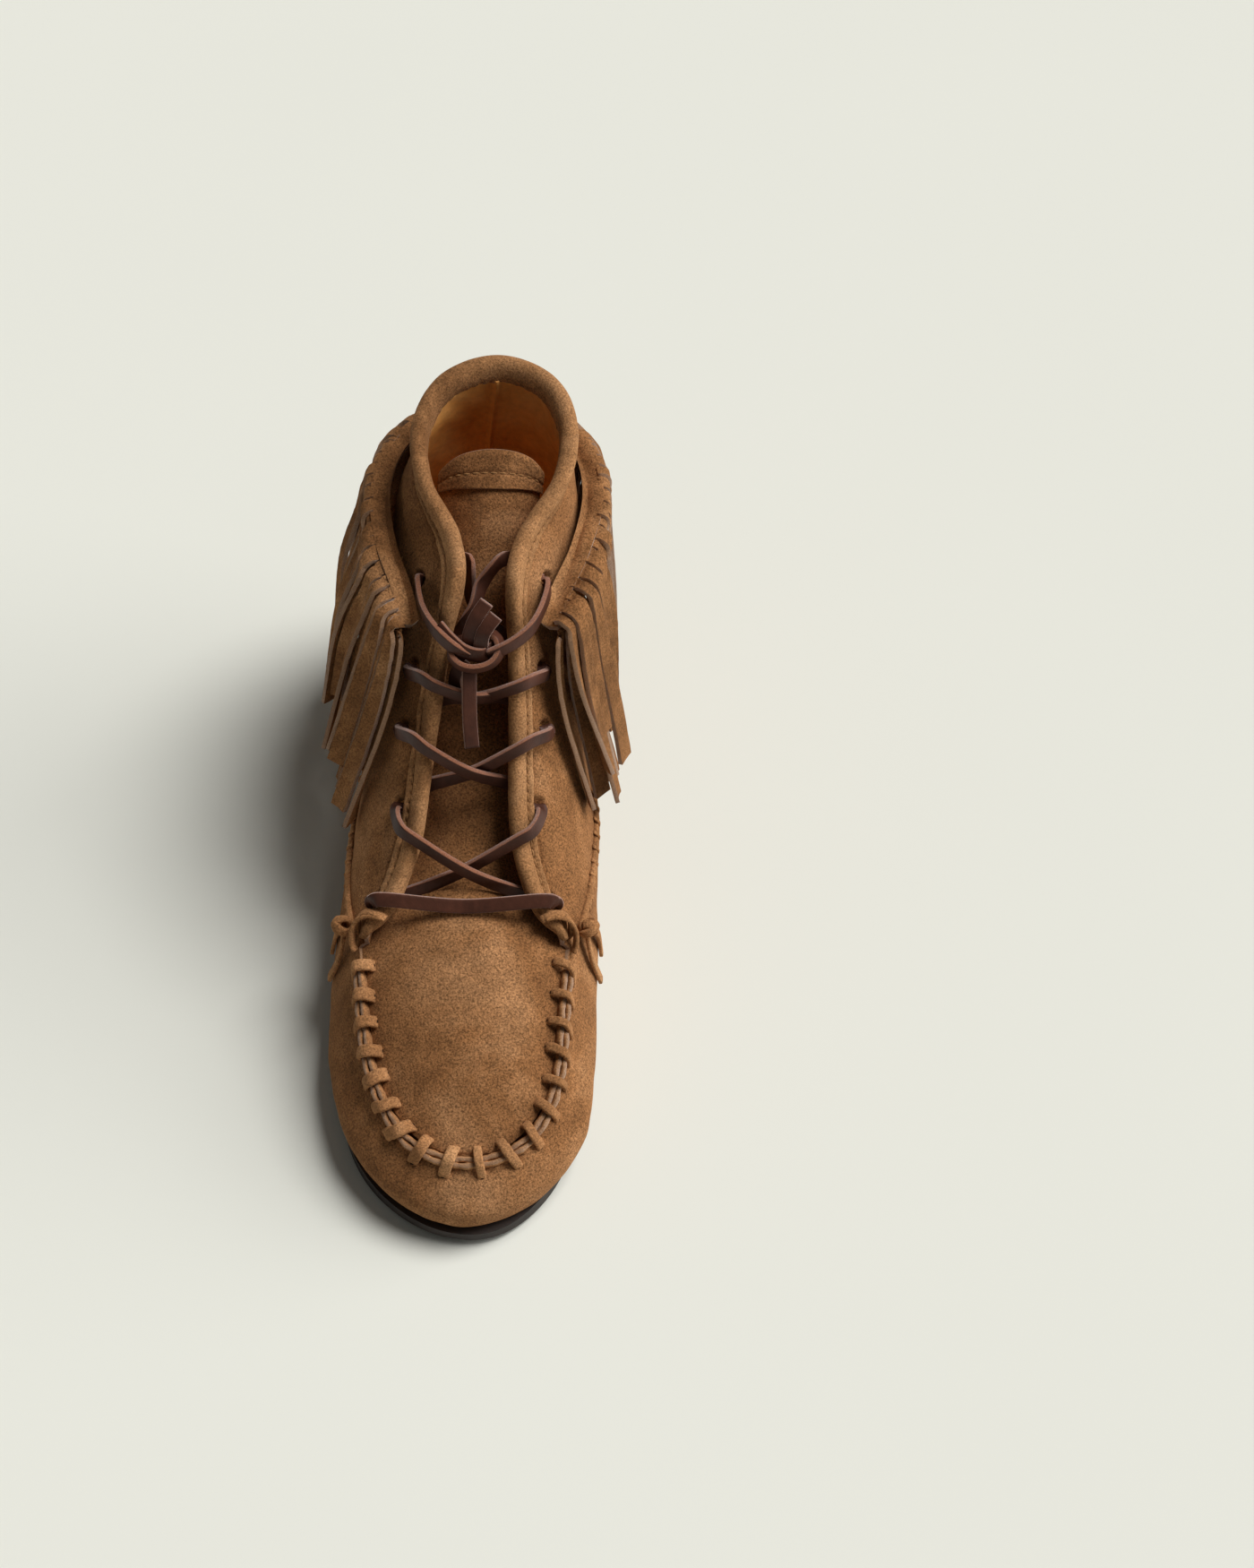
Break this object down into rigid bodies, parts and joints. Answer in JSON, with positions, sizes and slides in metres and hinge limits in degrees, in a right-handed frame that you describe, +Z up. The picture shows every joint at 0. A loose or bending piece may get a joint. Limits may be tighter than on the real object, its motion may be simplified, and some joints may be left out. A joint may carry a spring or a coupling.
{
  "type": "moccasin",
  "caption": "Ankle-high suede moccasin boot for the right foot: a wrapped sole-to-vamp body, laced facings over a tongue, a hanging fringe and a flat rubber sole.",
  "frame": {"origin": "on the flat underside of the outsole, midway between the sole's toe tip and heel end", "axes": "+Z up, -Y towards the toe, +X towards the wearer's inner (medial) side; units metres"},
  "size_m": [0.1006, 0.2711, 0.1602],
  "materials": {
    "rubber_sole": "matte moulded rubber with shallow cross grooves",
    "board": "compressed fibre board, matte",
    "foam": "open foam, matte",
    "lining_leather": "smooth camel leather with a soft sheen",
    "lace_leather": "dark red-brown smooth leather, paler raw edges",
    "fringe_suede": "tan brown suede with raw cut edges",
    "thong_suede": "tan brown suede thong",
    "body_suede": "tan brown suede with a short fuzzy nap"
  },
  "bodies": {
    "boot": {"back_strap": "body_suede", "edge_binding": "body_suede", "footbed_foam": "foam", "fringe_band_lateral": "fringe_suede", "fringe_band_medial": "fringe_suede", "heel_counter": "board", "insole_board": "board", "lace_bar": "lace_leather", "lace_crossing_1": "lace_leather", "lace_crossing_2": "lace_leather", "lace_crossing_3": "lace_leather", "lace_crossing_4": "lace_leather", "lace_knot": "lace_leather", "lace_leads": "lace_leather", "lining_lateral": "lining_leather", "lining_medial": "lining_leather", "moc_stitches": "thong_suede", "moccasin_wrap": "body_suede", "outsole": "rubber_sole", "plug": "body_suede", "quarter_lateral": "body_suede", "quarter_medial": "body_suede", "side_stitches_lateral": "thong_suede", "side_stitches_medial": "thong_suede", "sock_liner": "lining_leather", "tie_knot_lateral": "thong_suede", "tie_knot_medial": "thong_suede"},
    "tongue": {"tongue": "body_suede", "tongue_lining": "lining_leather", "tongue_hem": "body_suede"},
    "lace_tail": {"lace_tail": "lace_leather"},
    "fringe_lateral_back": {"fringe_lateral_back": "fringe_suede"},
    "fringe_lateral_front": {"fringe_lateral_front": "fringe_suede"},
    "fringe_lateral_side": {"fringe_lateral_side": "fringe_suede"},
    "fringe_medial_back": {"fringe_medial_back": "fringe_suede"},
    "fringe_medial_front": {"fringe_medial_front": "fringe_suede"},
    "fringe_medial_side": {"fringe_medial_side": "fringe_suede"}
  },
  "joints": [
    {"name": "tongue_hinge", "type": "hinge", "parent": "boot", "child": "tongue", "pos_m": [0, -0.033, 0.052], "axis": [-1, 0, 0], "range_deg": [0, 8]},
    {"name": "fringe_lateral_front_swing", "type": "hinge", "parent": "boot", "child": "fringe_lateral_front", "pos_m": [-0.02616, 0.04608, 0.11717], "axis": [-0.3161, 0.9487, 0], "range_deg": [0, 50]},
    {"name": "fringe_lateral_side_swing", "type": "hinge", "parent": "boot", "child": "fringe_lateral_side", "pos_m": [-0.03096, 0.08794, 0.11801], "axis": [0.0827, 0.9966, 0], "range_deg": [0, 50]},
    {"name": "fringe_lateral_back_swing", "type": "hinge", "parent": "boot", "child": "fringe_lateral_back", "pos_m": [-0.01426, 0.12024, 0.118], "axis": [0.8419, 0.5397, 0], "range_deg": [0, 50]},
    {"name": "fringe_medial_front_swing", "type": "hinge", "parent": "boot", "child": "fringe_medial_front", "pos_m": [0.03885, 0.04608, 0.11717], "axis": [-0.3257, -0.9455, 0], "range_deg": [0, 50]},
    {"name": "fringe_medial_side_swing", "type": "hinge", "parent": "boot", "child": "fringe_medial_side", "pos_m": [0.04383, 0.08794, 0.11801], "axis": [0.0829, -0.9966, 0], "range_deg": [0, 50]},
    {"name": "fringe_medial_back_swing", "type": "hinge", "parent": "boot", "child": "fringe_medial_back", "pos_m": [0.02713, 0.12024, 0.118], "axis": [0.8419, -0.5397, 0], "range_deg": [0, 50]},
    {"name": "lace_tail_swing", "type": "hinge", "parent": "boot", "child": "lace_tail", "pos_m": [0.0036, 0.02031, 0.11841], "axis": [-1, 0, 0], "range_deg": [0, 60]}
  ]
}
